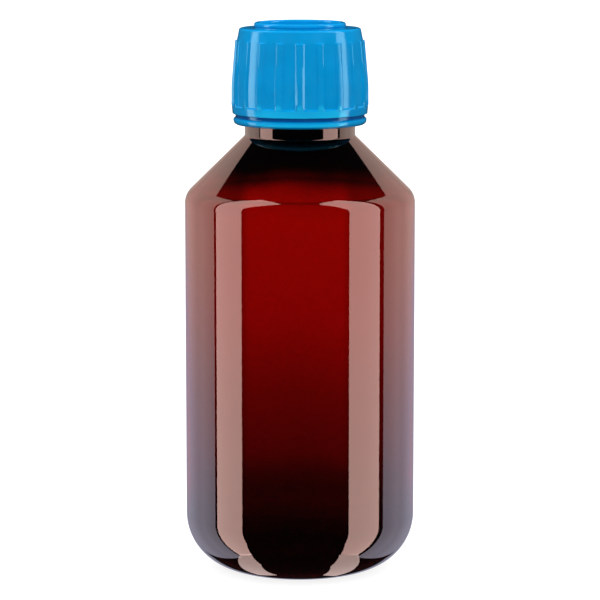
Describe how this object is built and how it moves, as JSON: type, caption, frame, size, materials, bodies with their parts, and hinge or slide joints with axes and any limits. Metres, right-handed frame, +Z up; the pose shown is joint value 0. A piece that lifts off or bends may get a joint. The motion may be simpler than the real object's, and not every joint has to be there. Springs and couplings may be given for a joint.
{
  "type": "medicine bottle with tamper-evident screw cap",
  "caption": "Round amber medicine bottle with a conical shoulder, threaded neck, ribbed blue screw cap and a tamper-evident ring under it.",
  "frame": {"origin": "centre of the base, on the plane that the bottle stands on", "axes": "+Z up along the bottle's axis, and one rib of the cap faces -Y"},
  "size_m": [0.054, 0.054, 0.1292],
  "materials": {
    "amber_pet": "clear, tinted amber, polished",
    "blue_polypropylene": "moulded, satin to gloss",
    "white_foam": "smooth closed-cell foam"
  },
  "bodies": {
    "bottle": {"bottle": "amber_pet"},
    "ring": {"tamper_ring": "blue_polypropylene"},
    "liner": {"foam_liner": "white_foam"},
    "cap": {"screw_cap": "blue_polypropylene"}
  },
  "joints": [
    {"name": "ring_drop", "type": "slide", "parent": "bottle", "child": "ring", "axis": [0, 0, 1], "range_m": [-0.0035, 0]},
    {"name": "cap_lift", "type": "slide", "parent": "bottle", "child": "liner", "axis": [0, 0, 1], "range_m": [0, 0.0191]},
    {"name": "cap_turn", "type": "hinge", "parent": "liner", "child": "cap", "pos_m": [0, 0, 0.1175], "axis": [0, 0, 1], "range_deg": [0, 2160]}
  ],
  "couplings": [
    {"joint": "cap_lift", "follows": "cap_turn", "m_per_rad": 0.00050611}
  ]
}
